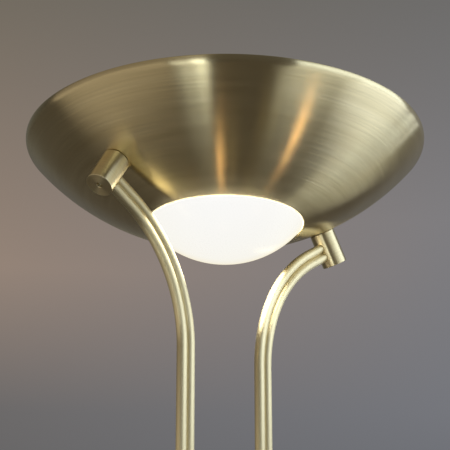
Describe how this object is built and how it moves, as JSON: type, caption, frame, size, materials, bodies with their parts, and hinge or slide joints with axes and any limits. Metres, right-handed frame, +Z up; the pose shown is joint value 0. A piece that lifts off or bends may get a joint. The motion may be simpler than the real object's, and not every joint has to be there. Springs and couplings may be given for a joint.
{
  "type": "floor lamp with reading light",
  "caption": "Twin-pole brass floor lamp: a spun uplighter bowl with an opal dome on curved arms, and a hinged, swivelling reading arm with its own shade and dimmer.",
  "frame": {"origin": "centre of the base's underside, on the floor", "axes": "+Z up; +X towards the right-hand pole, with the poles side by side along X; the reading arm reaches towards -Y and the cord gland is at +Y"},
  "size_m": [0.32, 0.5264, 1.8],
  "materials": {
    "brass": "satin, finely brushed round the turning axis",
    "iron": "raw cast",
    "pad": "matt",
    "steel": "zinc plated",
    "black_plastic": "moulded",
    "flex": "smooth sheath",
    "ceramic": "glazed",
    "opal_glass": "satin opal",
    "lamp_glass": "clear"
  },
  "bodies": {
    "stand": {"base_pad": "pad", "base_weight": "iron", "base_cover": "brass", "cord_gland": "black_plastic", "foot_ferrule_left": "brass", "foot_ferrule_right": "brass", "base_washers": "steel", "base_nuts": "steel", "lower_pole_left": "brass", "lower_pole_right": "brass", "crosshead_tube": "brass", "pole_block_left": "steel", "pole_block_right": "steel", "pole_set_screws": "steel", "uplight_dimmer": "black_plastic", "reading_dimmer": "black_plastic", "end_bush_left": "black_plastic", "end_bush_right": "black_plastic", "upper_arm_left": "brass", "upper_arm_right": "brass", "arm_leads": "flex", "bowl_knob_left": "brass", "bowl_knob_right": "brass", "knob_studs": "steel", "knob_washers": "steel", "knob_nuts": "steel", "uplight_bowl": "brass", "uplight_glass": "opal_glass", "glass_clips": "steel", "lamp_bridge": "steel", "lamp_holder_left": "ceramic", "lamp_holder_right": "ceramic", "uplight_lamp": "lamp_glass", "bowl_leads": "flex", "post_seat": "brass", "swivel_bolt": "steel", "swivel_washer": "black_plastic", "swivel_nut": "steel"},
    "swivel": {"swivel_fork": "brass", "tilt_pin": "steel", "tilt_washers": "black_plastic"},
    "reading_arm": {"inner_eye": "brass", "reading_tubes": "brass", "outer_eye": "brass"},
    "reading_head": {"head_fork": "brass", "head_pin": "steel", "head_washers": "black_plastic", "head_screw": "steel", "reading_shade": "brass", "head_bracket": "steel", "reading_holder": "ceramic", "reading_lamp": "lamp_glass", "reading_glass": "opal_glass", "head_bezel": "brass"},
    "uplight_knob": {"uplight_shaft": "steel", "uplight_dial": "brass"},
    "reading_knob": {"reading_shaft": "steel", "reading_dial": "brass"}
  },
  "joints": [
    {"name": "arm_swivel", "type": "hinge", "parent": "stand", "child": "swivel", "pos_m": [0, 0, 1.1754], "axis": [0, 0, 1], "range_deg": [-72, 72]},
    {"name": "arm_tilt", "type": "hinge", "parent": "swivel", "child": "reading_arm", "pos_m": [0, 0, 1.2054], "axis": [-1, 0, 0], "range_deg": [-25, 30]},
    {"name": "head_tilt", "type": "hinge", "parent": "reading_arm", "child": "reading_head", "pos_m": [0, -0.29462, 1.24397], "axis": [-1, 0, 0], "range_deg": [-60, 50]},
    {"name": "uplight_dimmer_turn", "type": "hinge", "parent": "stand", "child": "uplight_knob", "pos_m": [-0.0669, 0, 1.15], "axis": [-1, 0, 0], "range_deg": [0, 300]},
    {"name": "reading_dimmer_turn", "type": "hinge", "parent": "stand", "child": "reading_knob", "pos_m": [0.0669, 0, 1.15], "axis": [1, 0, 0], "range_deg": [0, 300]}
  ]
}
